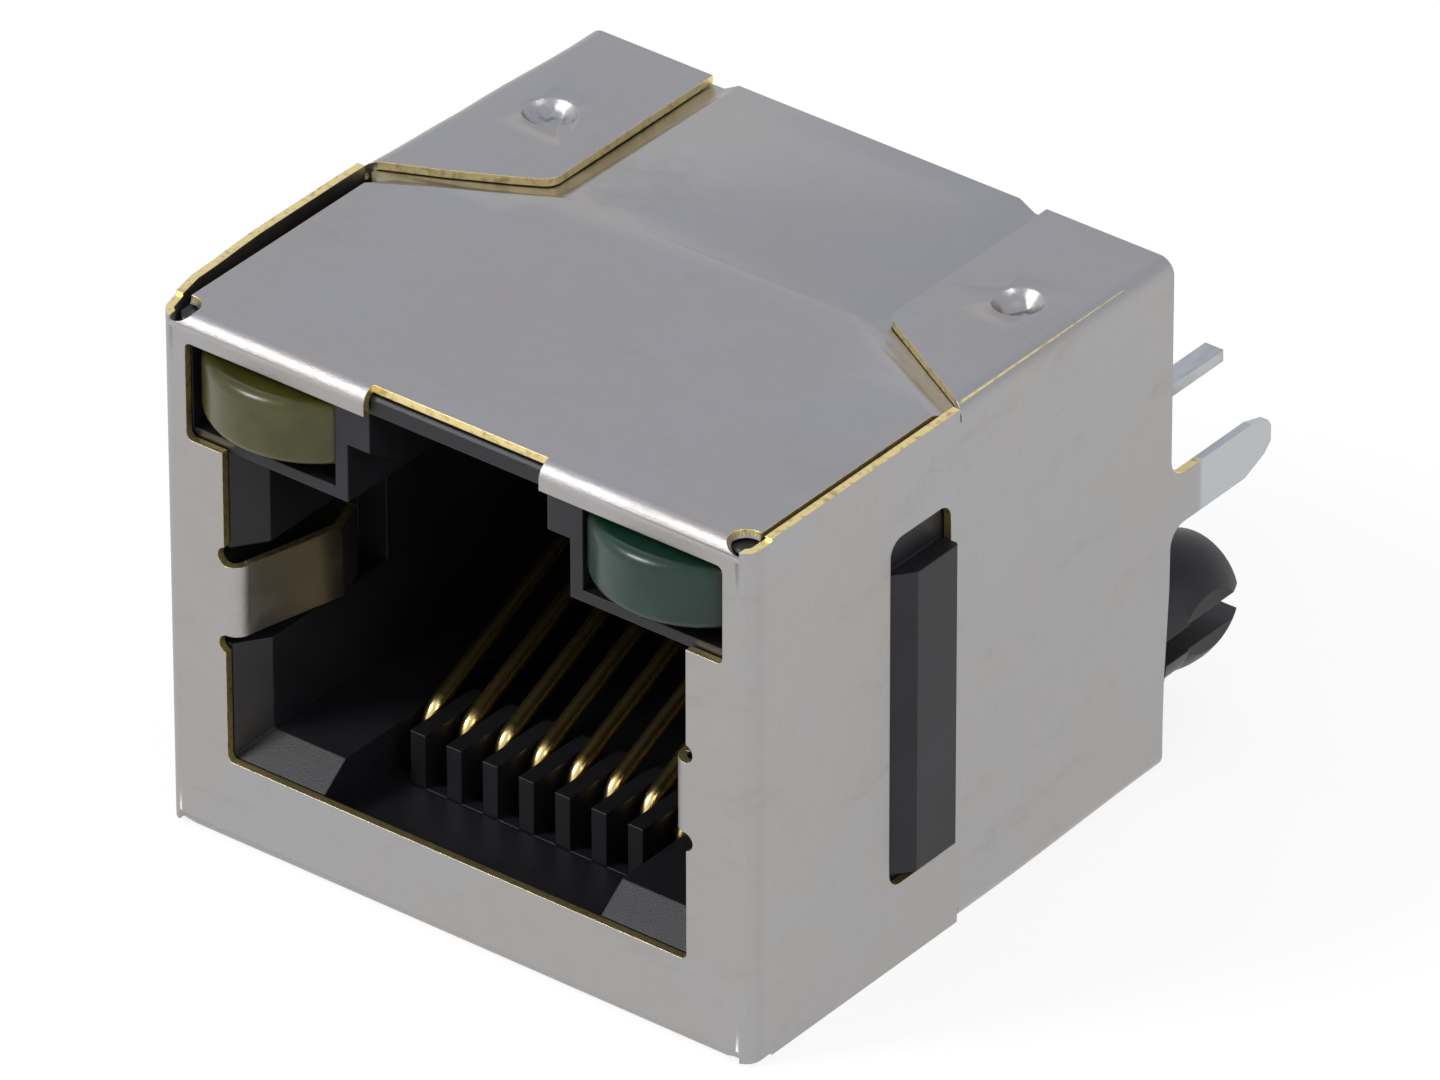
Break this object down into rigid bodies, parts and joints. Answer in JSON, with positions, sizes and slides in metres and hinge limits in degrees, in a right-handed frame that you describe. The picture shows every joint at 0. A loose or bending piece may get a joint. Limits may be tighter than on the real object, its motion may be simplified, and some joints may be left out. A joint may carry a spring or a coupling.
{
  "type": "rj45 board jack",
  "caption": "Upright board jack: a folded metal shield round a plastic housing, sprung gold contacts in a square mouth, a lamp in each upper corner, snap pegs and leads at the rear",
  "frame": {"origin": "on the plane of the board face, midway between the two snap pegs", "axes": "+Y out of the rear into the board, so -Y is out of the plug mouth; +Z to the side that takes the plug's latch; +X to the right when looking into the board"},
  "size_m": [0.0168, 0.0193, 0.0133],
  "materials": {
    "shield": "nickel plated sheet, satin, bare brass on the cut edges",
    "housing": "moulded black, fine satin",
    "carrier": "moulded black, fine satin",
    "contact": "gold plated wire, polished",
    "yellow_lens": "tinted translucent moulding, unlit",
    "green_lens": "tinted translucent moulding, unlit",
    "lead": "tinned, satin"
  },
  "bodies": {
    "root": {"shield": "shield", "housing": "housing", "contact_carrier": "carrier", "contact_1": "contact", "contact_2": "contact", "contact_3": "contact", "contact_4": "contact", "contact_5": "contact", "contact_6": "contact", "contact_7": "contact", "contact_8": "contact", "yellow_led": "yellow_lens", "green_led": "green_lens", "yellow_led_outer_lead": "lead", "yellow_led_inner_lead": "lead", "green_led_inner_lead": "lead", "green_led_outer_lead": "lead"}
  },
  "joints": []
}
